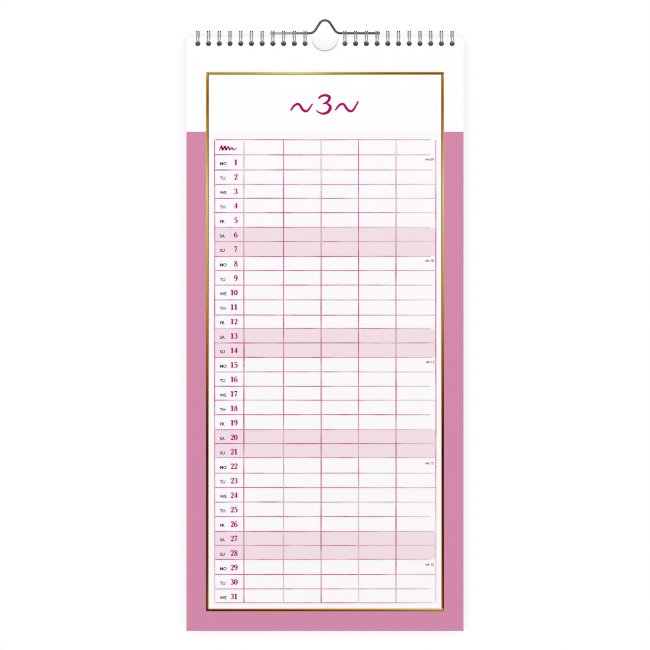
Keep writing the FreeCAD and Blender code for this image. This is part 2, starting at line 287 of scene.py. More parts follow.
def greyBoard():  # pressed waste paper: long fibres and a few dark specks
    recipe = Recipe("grey_board")
    point, _ = recipe.place()
    fibres = recipe.grain(point, greyCard["fibreScale"], detail=6.0, stretch=greyCard["fibreStretch"])
    specks = recipe.grain(point, greyCard["speckScale"], detail=1.0) > greyCard["speckAbove"]
    tone = recipe.mix(fibres, greyCard["dark"], greyCard["pale"])
    tone = recipe.mix(specks * greyCard["speckStrength"], tone, greyCard["speck"])
    height = recipe.bump(fibres, greyCard["relief"], greyCard["depth"])
    return recipe.finish(**{"Base Color": tone, "Roughness": greyCard["roughness"], "Normal": height})


printInk = {
    "mottleScale": 60.0,
    "mottleFrom": 0.35,
    "spread": 0.25,
    "fineScale": 1400.0,
    "fineShade": 0.12,
    "relief": 0.2,
    "depth": 0.002 * mm,
    "roughness": 0.6,
    "gloss": 0.2,
    "deepGloss": 0.04,  # of the strong reds, which a sheen would pale
}


def flatInk(name, colour, deeper, spread=printInk["spread"], gloss=printInk["gloss"]):
    recipe = Recipe(name)  # an even printed field with the faint mottle of offset print
    point, _ = recipe.place()
    mottle = recipe.grain(point, printInk["mottleScale"], detail=2.0)
    fine = recipe.grain(point, printInk["fineScale"], detail=1.0)
    amount = (mottle - printInk["mottleFrom"]) * spread + fine * printInk["fineShade"]
    return recipe.finish(**{
        "Base Color": recipe.mix(amount, colour, deeper), "Roughness": printInk["roughness"],
        "Specular IOR Level": gloss, "Normal": recipe.bump(fine, printInk["relief"], printInk["depth"]),
    })


goldLine = {
    "tones": [  # from the deepest shade to the brightest gleam
        (0.0, screenColour(50, 12, 0)), (0.2, screenColour(94, 42, 2)),
        (0.45, screenColour(150, 88, 8)), (0.65, screenColour(188, 147, 48)),
        (0.85, screenColour(207, 191, 101)), (1.0, screenColour(218, 213, 119)),
    ],
    "sides": [  # how bright the gold is down the sides, from the top corner
        (0.0, grey(0.75)), (0.015, grey(0.5)), (0.06, grey(0.43)), (0.22, grey(0.86)), (0.4, grey(0.64)),
        (0.5, grey(0.48)), (0.61, grey(0.21)), (0.7, grey(0.0)), (0.8, grey(0.1)), (0.89, grey(0.15)),
        (0.97, grey(0.3)), (1.0, grey(0.36)),
    ],
    "top": [  # along the top, from the left
        (0.0, grey(0.6)), (0.2, grey(0.7)), (0.37, grey(0.98)), (0.55, grey(0.62)), (0.75, grey(0.46)),
        (1.0, grey(0.42)),
    ],
    "foot": [(0.0, grey(0.24)), (0.25, grey(0.36)), (0.5, grey(0.52)), (0.75, grey(0.62)), (1.0, grey(0.84))],
    "innerEdge": 0.48 * mm,  # the line is shaded as if bevelled, in strips this wide
    "outerEdge": 0.7 * mm,
    "innerTone": (0.2, 0.55),  # the inner strip: at the top, and its rise down the page
    "outerTone": (0.16, 0.4, 0.2),  # added outside: at the top, its fall down the page, and less at the foot
    "grainScale": 500.0,
    "grainSway": 0.06,
    "roughness": 0.4,
}


def goldInk():  # printed gold: light and dark run round the frame as on polished metal
    recipe = Recipe("gold_ink")
    point, (across, _, up) = recipe.place()
    edges = edgePlaces("gold_line_print", 0)
    wide = edges[1] - edges[0]
    down = (borderHigh.z - up) / (borderHigh.z - borderLow.z)
    along = (across - borderLow.x) / (borderHigh.x - borderLow.x)

    def gleam(stops, amount):
        return recipe.add("ShaderNodeValToRGB", {"stops": stops}, {"Fac": amount})

    onTop = up > borderHigh.z - wide
    onFoot = up < borderLow.z + wide
    amount = onTop * gleam(goldLine["top"], along) + onFoot * gleam(goldLine["foot"], along)
    amount = amount + (1 - onTop) * (1 - onFoot) * gleam(goldLine["sides"], down)
    rim = wide - goldLine["innerEdge"]
    inner = (across.size() < borderHigh.x - rim) * (up < borderHigh.z - rim) * (up > borderLow.z + rim)
    rim = goldLine["outerEdge"]
    outer = 1 - (across.size() < borderHigh.x - rim) * (up < borderHigh.z - rim) * (up > borderLow.z + rim)
    outerStart, outerFall, outerFoot = goldLine["outerTone"]
    innerStart, innerRise = goldLine["innerTone"]
    amount = amount + outer * (outerStart - down * outerFall - onFoot * outerFoot)
    amount = (1 - inner) * amount + inner * (innerStart + down * innerRise)
    amount = amount + (recipe.grain(point, goldLine["grainScale"], detail=2.0) - 0.5) * goldLine["grainSway"]
    tone = gleam(goldLine["tones"], amount)
    return recipe.finish(**{"Base Color": tone, "Roughness": goldLine["roughness"], "Specular IOR Level": 0.02})


def brushInk():  # dry brush print: the stroke's own strength and greyness, broken up along its length
    recipe = Recipe("rule_ink")
    point, _ = recipe.place()
    strength = recipe.add("ShaderNodeAttribute", {"attribute_name": "strength"}, {}, "Fac")
    greyness = recipe.add("ShaderNodeAttribute", {"attribute_name": "greyness"}, {}, "Fac")
    bristles = recipe.grain(point, rules["bristleScale"], detail=4.0)
    patches = recipe.grain(point, rules["patchScale"], detail=2.0)
    ink = recipe.mix(greyness, rules["pink"], rules["grey"])
    firm, bristle, patch, least = rules["cover"]
    cover = (strength * (firm + bristle * bristles + patch * (patches - 0.5)) + least).clamped()
    tone = recipe.mix(cover, rules["bare"], ink)
    return recipe.finish(**{"Base Color": tone, "Roughness": 0.6, "Specular IOR Level": 0.2})


steel = {  # of both wires
    "drawnScale": 700.0,
    "relief": 0.15,
    "depth": 0.004 * mm,
}


def hangerSteel():  # drawn wire with painted shade: its colour darkens from its left end to the hump, standing in for the dark the polished steel reflects there
    recipe = Recipe("hanger_steel")
    point, (across, _, _) = recipe.place()
    drawn = recipe.grain(point, steel["drawnScale"], stretch=(0.1, 1, 1))
    start, end = hanger["shadeFade"]
    # painted shade along the wire, with the drawn grain's own tone added
    darker = drawn * hanger["drawnShade"] + ((across - start) / (end - start)).clamped()
    rough = hanger["roughness"] + drawn * hanger["roughSway"]
    return recipe.finish(**{
        "Base Color": recipe.mix(darker, hanger["pale"], hanger["dark"]), "Metallic": 1.0, "Roughness": rough,
        "Normal": recipe.bump(drawn, steel["relief"], steel["depth"]),
    })


def bindingSteel():  # bright drawn wire, with painted shade on the crowns of its loops
    recipe = Recipe("binding_steel")
    point, (_, _, up) = recipe.place()
    drawn = recipe.grain(point, steel["drawnScale"], stretch=(1, 1, 0.1))
    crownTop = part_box("right_binding_wire")[1].z
    # painted shade: over the loops' tops the colour falls to near black and the steel stops being metallic
    crown = ((up - crownTop + binding["crownShadeDepth"]) / binding["crownShadeBlend"]).clamped()
    tone = recipe.mix(drawn * binding["drawnShade"], binding["pale"], binding["dark"])
    return recipe.finish(**{
        "Base Color": recipe.mix(crown, tone, binding["crown"]), "Metallic": 1 - crown,
        "Specular IOR Level": 0.02, "Roughness": binding["roughness"] + drawn * binding["roughSway"],
        "Normal": recipe.bump(drawn, steel["relief"], steel["depth"]),
    })


# Mesh helpers

def meshPiece(name, mesh, material):
    piece = bpy.data.objects.new(name, mesh)
    bpy.context.collection.objects.link(piece)
    mesh.materials.clear()
    mesh.materials.append(material)
    return piece


def arcPoints(centre, first, second, start, end, steps):  # from start to end turn, on axes first and second
    points = []
    for step in range(steps + 1):
        turn = start + (end - start) * step / steps
        points.append(centre + first * math.cos(turn) + second * math.sin(turn))
    return points


def tubeMesh(name, points, radius, sides, capped=True):  # a round wire swept along points
    bm = bmesh.new()
    rings = []
    heading = (points[1] - points[0]).normalized()
    side = heading.orthogonal().normalized()
    for number, point in enumerate(points):
        ahead = points[min(number + 1, len(points) - 1)]
        behind = points[max(number - 1, 0)]
        newHeading = (ahead - behind).normalized()
        side = heading.rotation_difference(newHeading) @ side
        side = (side - newHeading * side.dot(newHeading)).normalized()
        heading = newHeading
        other = heading.cross(side)
        rings.append([bm.verts.new(corner) for corner in
                      arcPoints(point, side * radius, other * radius, 0, 2 * math.pi, sides)[:-1]])
    for lower, upper in zip(rings, rings[1:]):
        for corner in range(sides):
            after = (corner + 1) % sides
            bm.faces.new((lower[corner], lower[after], upper[after], upper[corner]))
    if capped:
        bm.faces.new(list(reversed(rings[0])))
        bm.faces.new(rings[-1])
    for face in bm.faces:
        face.smooth = len(face.verts) == 4
    mesh = bpy.data.meshes.new(name)
    bm.to_mesh(mesh)
    bm.free()
    return mesh


def bakedMesh(piece, name):  # the mesh that a piece's modifiers give, as a plain mesh
    bpy.context.view_layer.update()
    evaluated = piece.evaluated_get(bpy.context.evaluated_depsgraph_get())
    mesh = bpy.data.meshes.new_from_object(evaluated)
    mesh.name = name
    return mesh


# Geometry Nodes helpers

class NodePlan:  # a small tree of geometry nodes with named inputs
    def __init__(self, name, sizes):
        self.tree = bpy.data.node_groups.new(name, "GeometryNodeTree")
        self.tree.interface.new_socket(name="Geometry", in_out="INPUT", socket_type="NodeSocketGeometry")
        self.identifiers = {}
        for label, value in sizes.items():
            kind = "NodeSocketInt" if isinstance(value, int) else "NodeSocketFloat"
            if isinstance(value, bpy.types.Object):
                kind = "NodeSocketObject"
            socket = self.tree.interface.new_socket(name=label, in_out="INPUT", socket_type=kind)
            self.identifiers[label] = socket.identifier
        self.tree.interface.new_socket(name="Geometry", in_out="OUTPUT", socket_type="NodeSocketGeometry")
        self.entry = self.tree.nodes.new("NodeGroupInput")
        self.exit = self.tree.nodes.new("NodeGroupOutput")
        self.sizes = sizes

    def add(self, kind, settings, inputs):
        node = self.tree.nodes.new(kind)
        for name, value in settings.items():
            setattr(node, name, value)
        for name, value in inputs.items():
            if isinstance(value, bpy.types.NodeSocket):
                self.tree.links.new(value, node.inputs[name])
            else:
                node.inputs[name].default_value = value
        return node

    def end(self, geometry, material):
        real = self.add("GeometryNodeRealizeInstances", {}, {"Geometry": geometry})
        finished = self.add("GeometryNodeSetMaterial", {}, {"Geometry": real.outputs[0], "Material": material})
        self.tree.links.new(finished.outputs[0], self.exit.inputs["Geometry"])

    def run(self, piece, name):
        modifier = piece.modifiers.new("plan", "NODES")
        modifier.node_group = self.tree
        for label, value in self.sizes.items():
            modifier[self.identifiers[label]] = value
        mesh = bakedMesh(piece, name)
        piece.modifiers.remove(modifier)
        return mesh


# Binding wires

binding = {
    "wire": 0.88 * mm,
    "twin": 1.6 * mm,  # between the two wires of a loop
    "pitch": 8.13 * mm,
    "loops": 11,
    "innerHole": 15.1 * mm,
    "bend": 0.8 * mm,
    "stub": 1.0 * mm,
    "tipRoom": 0.98 * mm,  # wire and the room that a tip leaves to the bends it closes on
    "sides": 14,
    "ringSteps": 40,
    "pale": screenColour(180, 180, 182),
    "dark": screenColour(134, 134, 138),
    # the colour of the painted shade on the loops' tops, then how far down it reaches and how softly it blends
    "crown": screenColour(40, 40, 42),
    "crownShadeDepth": 1.8 * mm,  # painted shade: the loops' tops are darkened in colour, where they turn back out of the light
    "crownShadeBlend": 0.6 * mm,
    "drawnShade": 0.4,
    "roughness": 0.2,
    "roughSway": 0.1,
    "weld": 0.01 * mm,
}


def seamMiddle():  # the links run between the later leaves and the board
    return (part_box("later_sheets")[1].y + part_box("back_board")[0].y) / 2


def fingerPoints():  # one twin loop round X 0, from stub to stub
    low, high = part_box("right_binding_wire")
    centreZ = (low.z + high.z) / 2
    radius = (high.z - low.z - binding["wire"]) / 2
    half = binding["twin"] / 2
    bend = binding["bend"]
    seam = seamMiddle()
    root = math.acos(seam / math.hypot(radius, bend)) - math.atan2(radius, bend)
    reach = half + bend
    nest = math.sqrt((reach + binding["tipRoom"]) ** 2 - reach ** 2) - bend
    tip = 2 * math.pi - math.asin((seam + nest) / radius)

    def onLoop(across, turn):
        return Vector((across, -radius * math.sin(turn), centreZ - radius * math.cos(turn)))

    def heading(turn):
        return Vector((0, -math.cos(turn), math.sin(turn)))

    across = Vector((1, 0, 0))
    level = onLoop(0, root) - heading(root) * bend
    points = [level - across * (half + bend + binding["stub"])]
    points += arcPoints(onLoop(-half - bend, root), across * bend, heading(root) * bend, -math.pi / 2, 0, 6)
    steps = binding["ringSteps"]
    points += [onLoop(-half, root + (tip - root) * step / steps) for step in range(1, steps)]
    points += arcPoints(onLoop(0, tip), across * half, heading(tip) * half, math.pi, 0, 10)
    points += [onLoop(half, tip + (root - tip) * step / steps) for step in range(1, steps)]
    points += arcPoints(onLoop(half + bend, root), across * bend, heading(root) * bend, math.pi, 1.5 * math.pi, 6)
    points.append(level + across * (half + bend + binding["stub"]))
    return points


def makeBinding(name, side, material):
    points = fingerPoints()
    radius = binding["wire"] / 2
    finger = meshPiece(name + "_finger", tubeMesh("finger", points, radius, binding["sides"], False), material)
    stubEnd = points[-1]
    linkEnd = stubEnd + Vector((binding["pitch"] - 2 * stubEnd.x, 0, 0))
    linkMesh = tubeMesh("link", [stubEnd, linkEnd], radius, binding["sides"], False)
    link = meshPiece(name + "_link", linkMesh, material)
    first = binding["innerHole"] if side > 0 else -binding["innerHole"] - (binding["loops"] - 1) * binding["pitch"]

    sizes = {"Loops": binding["loops"], "Pitch": binding["pitch"], "First": first, "Link": link}
    plan = NodePlan("twin_loops", sizes)
    step = plan.add("ShaderNodeCombineXYZ", {}, {"X": plan.entry.outputs["Pitch"]})
    start = plan.add("ShaderNodeCombineXYZ", {}, {"X": plan.entry.outputs["First"]})
    gaps = plan.add("ShaderNodeMath", {"operation": "SUBTRACT"}, {0: plan.entry.outputs["Loops"], 1: 1.0})
    linkShape = plan.add("GeometryNodeObjectInfo", {}, {"Object": plan.entry.outputs["Link"]})
    rows = []
    for count, shape in (
        (plan.entry.outputs["Loops"], plan.entry.outputs["Geometry"]),
        (gaps.outputs[0], linkShape.outputs["Geometry"]),
    ):
        line = plan.add("GeometryNodeMeshLine", {}, {
            "Count": count, "Start Location": start.outputs[0], "Offset": step.outputs[0],
        })
        rows.append(plan.add("GeometryNodeInstanceOnPoints", {}, {"Points": line.outputs[0], "Instance": shape}))
    together = plan.add("GeometryNodeJoinGeometry", {}, {})
    for row in rows:
        plan.tree.links.new(row.outputs[0], together.inputs[0])
    real = plan.add("GeometryNodeRealizeInstances", {}, {"Geometry": together.outputs[0]})
    merged = plan.add("GeometryNodeMergeByDistance", {}, {"Geometry": real.outputs[0], "Distance": binding["weld"]})
    plan.end(merged.outputs[0], material)
    mesh = plan.run(finger, name)
    bpy.data.objects.remove(finger)
    bpy.data.objects.remove(link)

    bm = bmesh.new()
    bm.from_mesh(mesh)
    bmesh.ops.holes_fill(bm, edges=[edge for edge in bm.edges if edge.is_boundary], sides=0)
    bmesh.ops.recalc_face_normals(bm, faces=bm.faces)
    bm.to_mesh(mesh)
    bm.free()
    piece = meshPiece(name, mesh, material)
    piece.visible_diffuse = False  # the white paper and wall beside a loop stay white, as in the photograph
    piece.visible_shadow = False
    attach(piece, "binding")
    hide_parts(name)


# Hanger

hanger = {
    "wire": 1.8 * mm,
    "crown": 4.7 * mm,
    "foot": 5.2 * mm,
    "flank": math.radians(57),
    "sides": 24,
    "bevel": 0.18 * mm,
    "pale": screenColour(178, 178, 180),
    "dark": screenColour(84, 84, 87),
    # painted shade: where the wire's darkening in colour starts and where it is full, from its left end to the hump
    "shadeFade": (-36 * mm, -9 * mm),
    "drawnShade": 0.14,
    "roughness": 0.24,
    "roughSway": 0.12,
}


def makeHanger():
    low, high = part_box("hanger_wire")
    half = (high.x - low.x) / 2
    rodZ = low.z + hanger["wire"] / 2
    crownHeight = high.z - low.z - hanger["wire"]
    turn = hanger["flank"]
    crownCentre = Vector((0, 0, rodZ + crownHeight - hanger["crown"]))
    crownEnd = crownCentre + Vector((math.sin(turn), 0, math.cos(turn))) * hanger["crown"]
    footTop = rodZ + hanger["foot"] * (1 - math.cos(turn))
    footX = crownEnd.x + (crownEnd.z - footTop) / math.tan(turn) + hanger["foot"] * math.sin(turn)
    footCentre = Vector((footX, 0, rodZ + hanger["foot"]))
    right = Vector((1, 0, 0))
    up = Vector((0, 0, 1))
    crownArc = arcPoints(crownCentre, up * hanger["crown"], right * hanger["crown"], 0, turn, 12)
    footArc = arcPoints(footCentre, up * -hanger["foot"], right * -hanger["foot"], turn, 0, 12)
    ends = [Vector((footX + (half - footX) * part, 0, rodZ)) for part in (0.33, 0.66, 1)]
    rightSide = crownArc + footArc + ends
    leftSide = [Vector((-point.x, 0, point.z)) for point in reversed(rightSide[1:])]
    mesh = tubeMesh("hanger_wire", leftSide + rightSide, hanger["wire"] / 2, hanger["sides"])
    piece = meshPiece("hanger", mesh, hangerSteel())
    bevel = piece.modifiers.new("cut ends", "BEVEL")
    bevel.width = hanger["bevel"]
    bevel.segments = 3
    bevel.angle_limit = math.radians(60)
    baked = bakedMesh(piece, "hanger")
    piece.modifiers.remove(bevel)
    piece.data = baked
    piece.visible_diffuse = False
    piece.visible_shadow = False
    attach(piece, "hanger")
    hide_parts("hanger_wire")


# Leaves

leaves = {
    "trim": 0.9,  # share of its room that a leaf fills, so that the leaves part
    "shift": 0.03 * mm,
    "weld": 0.001 * mm,
    "seed": 3,
}


def makeLeafStack(name, count, body, material, seed):
    low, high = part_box(name)
    pitch = (high.y - low.y) / count
    mesh = nodes["front_sheet"].data.copy()
    bm = bmesh.new()
    bm.from_mesh(mesh)
    bmesh.ops.remove_doubles(bm, verts=bm.verts, dist=leaves["weld"])
    for vert in bm.verts:
        vert.co.y = (vert.co.y - sheetLow.y) * leaves["trim"] * pitch / (sheetHigh.y - sheetLow.y)
    bm.to_mesh(mesh)
    bm.free()
    leaf = meshPiece(name + "_leaf", mesh, material)
    sizes = {"Leaves": count, "Pitch": pitch, "Front": low.y, "Shift": leaves["shift"], "Seed": seed}
    plan = NodePlan("leaf_stack", sizes)
    start = plan.add("ShaderNodeCombineXYZ", {}, {"Y": plan.entry.outputs["Front"]})
    step = plan.add("ShaderNodeCombineXYZ", {}, {"Y": plan.entry.outputs["Pitch"]})
    line = plan.add("GeometryNodeMeshLine", {}, {
        "Count": plan.entry.outputs["Leaves"], "Start Location": start.outputs[0], "Offset": step.outputs[0],
    })
    most = plan.entry.outputs["Shift"]
    least = plan.add("ShaderNodeMath", {"operation": "MULTIPLY"}, {0: most, 1: -1.0})
    highShift = plan.add("ShaderNodeCombineXYZ", {}, {"X": most, "Z": most})
    lowShift = plan.add("ShaderNodeCombineXYZ", {}, {"X": least.outputs[0], "Z": least.outputs[0]})
    shifts = plan.add("FunctionNodeRandomValue", {"data_type": "FLOAT_VECTOR"}, {
        0: lowShift.outputs[0], 1: highShift.outputs[0], "Seed": plan.entry.outputs["Seed"],
    })
    moved = plan.add("GeometryNodeSetPosition", {}, {"Geometry": line.outputs[0], "Offset": shifts.outputs[0]})
    stack = plan.add("GeometryNodeInstanceOnPoints", {}, {
        "Points": moved.outputs[0], "Instance": plan.entry.outputs["Geometry"],
    })
    plan.end(stack.outputs[0], material)
    piece = meshPiece(name + "_stack", plan.run(leaf, name), material)
    bpy.data.objects.remove(leaf)
    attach(piece, body)
    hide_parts(name)


# Brushed and printed strokes

def smoothStations(stations, steps):  # a smooth run through stations of (x, z, width)
    padded = [stations[0]] + list(stations) + [stations[-1]]
    run = []
    for before, start, end, after in zip(padded, padded[1:], padded[2:], padded[3:]):
        for step in range(steps):
            t = step / steps
            run.append(tuple(
                0.5 * (2 * b + (c - a) * t + (2 * a - 5 * b + 4 * c - d) * t ** 2 + (3 * b - a - 3 * c + d) * t ** 3)
                for a, b, c, d in zip(before, start, end, after)
            ))
    return run + [tuple(stations[-1])]


def layStroke(bm, stations, height):  # a flat stroke of ink on the leaf, a hair thick
    corners = []
    for number, (x, z, width) in enumerate(stations):
        ahead = stations[min(number + 1, len(stations) - 1)]
        behind = stations[max(number - 1, 0)]
        along = Vector((ahead[0] - behind[0], ahead[1] - behind[1])).normalized()
        side = Vector((-along.y, along.x)) * width / 2
        corners.append([
            bm.verts.new((x + side.x, inkFace, z + side.y)),
            bm.verts.new((x - side.x, inkFace, z - side.y)),
            bm.verts.new((x - side.x, inkFace - height, z - side.y)),
            bm.verts.new((x + side.x, inkFace - height, z + side.y)),
        ])
    for here, after in zip(corners, corners[1:]):
        for corner in range(4):
            other = (corner + 1) % 4
            bm.faces.new((here[corner], here[other], after[other], after[corner]))
    bm.faces.new(list(reversed(corners[0])))
    bm.faces.new(corners[-1])
    return [vert for station in corners for vert in station]


def strokePiece(name, bm, material, slot, *replaced):
    bmesh.ops.recalc_face_normals(bm, faces=bm.faces)
    mesh = bpy.data.meshes.new(name)
    bm.to_mesh(mesh)
    bm.free()
    piece = meshPiece(name, mesh, material)
    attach(piece, "front_leaf")
    if replaced:
        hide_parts(*replaced)
    return piece


rules = {
    "height": 0.05 * mm,
    "station": 2.5 * mm,
    "wobble": 0.12 * mm,
    "slimmed": 0.92,  # brushed rules are this share of the frame's width
    "widthSway": 0.35,
    "firm": (0.75, 1.1),  # a level rule's strength
    "tiresFrom": (0.45, 0.75),  # share of its length past which a level rule runs dry
    "tired": 0.55,
    "spent": (-0.1, 0.2, 0.6, 1.0),  # shares of shortAtRight by which a level rule falls short
    "columnTop": (-0.5, 2.0),  # shares of unevenEnd
    "columnFoot": (-0.5, 1.5),
    "apart": 0.003 * mm,  # between strokes that cross
    "columnStrength": (  # from the top rule down: every other upright rule starts dry, the others end dry
        ((0.0, 0.93), (0.3, 1.14), (0.5, 1.1), (0.7, 0.78), (0.9, 0.6), (1.0, 0.36)),
        ((0.0, 0.3), (0.04, 0.58), (0.16, 0.78), (0.32, 1.06), (0.54, 1.14), (0.8, 1.12), (1.0, 0.95)),
    ),
    "columnWidth": (1.0, 1.14),  # every other upright rule is broader
    "columnGrey": (0.0, 0.25, 0.05, 0.45, 0.05, 0.3, 0.1),  # one for each upright rule, from the left
    "shortAtRight": 4.0 * mm,  # at most, where a brush stroke runs dry before the last upright rule
    "unevenEnd": 0.6 * mm,
    "pink": screenColour(208, 84, 132),
    "grey": screenColour(160, 122, 144),
    "bare": screenColour(250, 246, 249),
    "bristleScale": 260.0,
    "patchScale": 40.0,
    "cover": (0.55, 0.5, 0.6, 0.1),  # of the ink: steady, by bristle, by patch, and at least
    "seed": 11,
}


def ruleMiddles(axis):  # where the frame's rules lie, from the two edges that each one has
    edges = edgePlaces("grid_line_print", axis)
    return [(low + high) / 2 for low, high in zip(edges[::2], edges[1::2])], edges[1] - edges[0]


def readRun(run, place):  # the value at a place of a run of (place, value)
    for (start, first), (end, last) in zip(run, run[1:]):
        if place <= end:
            return first + (last - first) * max(0.0, place - start) / (end - start)
    return run[-1][1]


def ruleStations(start, end, phase, wide):
    length = math.hypot(end[0] - start[0], end[1] - start[1])
    count = max(2, round(length / rules["station"]))
    level = abs(end[0] - start[0]) > abs(end[1] - start[1])
    stations = []
    for step in range(count + 1):
        part = step / count
        drift = noise.noise(Vector((part * length * 18, phase, 0))) * rules["wobble"]
        width = wide * (rules["slimmed"] + noise.noise(Vector((part * length * 90, phase, 5))) * rules["widthSway"])
        x = start[0] + (end[0] - start[0]) * part + (0 if level else drift)
        z = start[1] + (end[1] - start[1]) * part + (drift if level else 0)
        stations.append((x, z, width))
    return stations


def makeRules():
    chance = random.Random(rules["seed"])
    bm = bmesh.new()
    strength = bm.verts.layers.float.new("strength")
    greyness = bm.verts.layers.float.new("greyness")
    columns, wide = ruleMiddles(0)
    rows, _ = ruleMiddles(2)
    left, right = columns[0], columns[-1]
    bottom, top = rows[0], rows[-1]
    for row, z in enumerate(reversed(rows)):
        firm = chance.uniform(*rules["firm"])
        tiresFrom = chance.uniform(*rules["tiresFrom"])
        start = left + chance.uniform(-1, 1) * rules["unevenEnd"]
        end = right - chance.choice(rules["spent"]) * rules["shortAtRight"]
        for vert in layStroke(bm, ruleStations((start, z), (end, z), row + 0.5, wide), rules["height"]):
            part = (vert.co.x - left) / (right - left)
            tired = max(0.0, part - tiresFrom) / (1 - tiresFrom)
            patch = noise.noise(Vector((vert.co.x * 45, row * 3.1, 0)))
            vert[strength] = firm * (1 - rules["tired"] * tired) * (1 + 0.5 * patch)
            vert[greyness] = min(1.0, max(0.0, 0.1 + 0.8 * patch + 0.45 * tired))
    for number, x in enumerate(columns):
        start = top - chance.uniform(*rules["columnTop"]) * rules["unevenEnd"]
        end = bottom + chance.uniform(*rules["columnFoot"]) * rules["unevenEnd"]
        stations = ruleStations((x, start), (x, end), number + 60.5, wide * rules["columnWidth"][number % 2])
        for vert in layStroke(bm, stations, rules["height"] * 1.1):
            patch = noise.noise(Vector((vert.co.z * 40, number * 5.3, 9)))
            down = (top - vert.co.z) / (top - bottom)
            vert[strength] = readRun(rules["columnStrength"][number % 2], down) * (1 + 0.35 * patch)
            vert[greyness] = min(1.0, max(0.0, rules["columnGrey"][number] + 0.25 * patch))
    strokePiece("grid_rules", bm, brushInk(), "rule_ink", "grid_line_print")


# Day numbers: bold numerals with thick and thin strokes, on a body one high; each stroke is (x, z, width)
numerals = {
    "0": [[(.32, .97, .07), (.14, .8, .17), (.1, .5, .2), (.14, .2, .17), (.32, .03, .07), (.5, .2, .17),
           (.54, .5, .2), (.5, .8, .17), (.32, .97, .07)]],
    "1": [[(.33, 0, .22), (.33, .98, .22)], [(.06, .84, .06), (.22, .93, .12), (.34, .97, .04)],
          [(.1, .03, .06), (.56, .03, .06)]],
    "2": [[(.13, .7, .19), (.12, .84, .1), (.3, .97, .08), (.5, .85, .16), (.52, .68, .19), (.38, .42, .12),
           (.1, .08, .06)], [(.07, .09, .12), (.3, .09, .2), (.52, .09, .12), (.6, .24, .05)]],
    "3": [[(.1, .78, .16), (.16, .92, .08), (.3, .97, .07), (.5, .8, .18), (.42, .6, .12), (.26, .53, .06)],
          [(.26, .53, .06), (.48, .44, .14), (.54, .25, .2), (.4, .06, .1), (.22, .02, .07), (.07, .17, .17)]],
    "4": [[(.44, .97, .06), (.06, .32, .07)], [(.04, .29, .09), (.64, .29, .09)], [(.44, 0, .2), (.44, .98, .2)]],
    "5": [[(.14, .94, .06), (.12, .5, .06)], [(.12, .9, .16), (.34, .9, .16), (.54, .95, .1)],
          [(.12, .5, .05), (.3, .62, .1), (.5, .5, .18), (.54, .3, .2), (.42, .06, .11), (.22, .02, .07),
           (.07, .15, .16)]],
    "6": [[(.52, .86, .13), (.36, .97, .07), (.17, .78, .14), (.1, .42, .2), (.17, .12, .15), (.33, .02, .07),
           (.5, .14, .15), (.54, .32, .19), (.46, .52, .13), (.32, .58, .06), (.17, .46, .05)]],
    "7": [[(.07, .72, .05), (.1, .9, .12), (.3, .92, .17), (.58, .93, .12)],
          [(.57, .94, .06), (.38, .5, .12), (.28, .06, .22)]],
    "8": [[(.32, .53, .11), (.14, .72, .15), (.18, .9, .11), (.32, .97, .06), (.47, .88, .13), (.48, .7, .13),
           (.32, .53, .13), (.12, .36, .12), (.1, .18, .16), (.22, .03, .09), (.38, .02, .08), (.54, .17, .17),
           (.52, .36, .15), (.32, .53, .11)]],
    "9": [[(.12, .14, .13), (.28, .03, .07), (.47, .22, .14), (.54, .58, .2), (.47, .88, .15), (.31, .98, .07),
           (.14, .86, .15), (.1, .68, .19), (.18, .48, .13), (.32, .42, .06), (.47, .54, .05)]],
}

figures = {
    "high": 4.2 * mm,
    "advance": 2.75 * mm,
    "rightEnd": -66.2 * mm,
    "aboveRule": 2.7 * mm,
    "bolder": 1.35,
    "height": 0.07 * mm,  # above the weekend bands too
    "colour": screenColour(187, 0, 116),
    "deeper": screenColour(164, 0, 97),
    "weekdays": ("MO", "TU", "WE", "TH", "FR", "SA", "SU"),
    "weekdaySize": 3.25 * mm,
    "weekdayLeft": -79.7 * mm,
    "weekdayColour": screenColour(58, 56, 60),
    "weekdayDeeper": screenColour(40, 40, 40),
    "weekdayBolder": 0.03,  # share of the size by which a letter's strokes are swelled
    "firstWeek": 9,
    "weeks": 5,
    "weekSize": 2.6 * mm,
    "weekRight": 82.4 * mm,
    "weekBelow": 4.8 * mm,
    "weekColour": screenColour(157, 83, 108),
    "firstWeekColour": screenColour(116, 134, 92),
}


def writeNumber(bm, number, right, base, high, advance):  # plain numerals, set from their right-hand end
    for place, digit in enumerate(reversed(str(number))):
        left = right - (place + 1) * advance
        for layer, stroke in enumerate(numerals[digit]):
            smooth = smoothStations(stroke, 3 if len(stroke) > 3 else 1)
            stations = [(left + x * high, base + z * high, width * figures["bolder"] * high) for x, z, width in smooth]
            layStroke(bm, stations, figures["height"] + layer * rules["apart"])


def wordMesh(text, size, bolder=0.0):  # plain letters in the built-in shapes, standing on the leaf
    curve = bpy.data.curves.new(text, "FONT")
    curve.body = text
    curve.size = size
    curve.offset = bolder * size
    curve.extrude = figures["height"] / 2
    curve.resolution_u = 3
    holder = bpy.data.objects.new(text, curve)
    bpy.context.collection.objects.link(holder)
    mesh = bakedMesh(holder, text)
    bpy.data.objects.remove(holder)
    for vert in mesh.vertices:
        across, up, out = vert.co
        vert.co = (across, inkFace - figures["height"] / 2 - out, up)
    return mesh


def addWord(bm, mesh, x, z):
    first = len(bm.verts)
    bm.from_mesh(mesh)
    bm.verts.ensure_lookup_table()
    for vert in bm.verts[first:]:
        vert.co += Vector((x, 0, z))


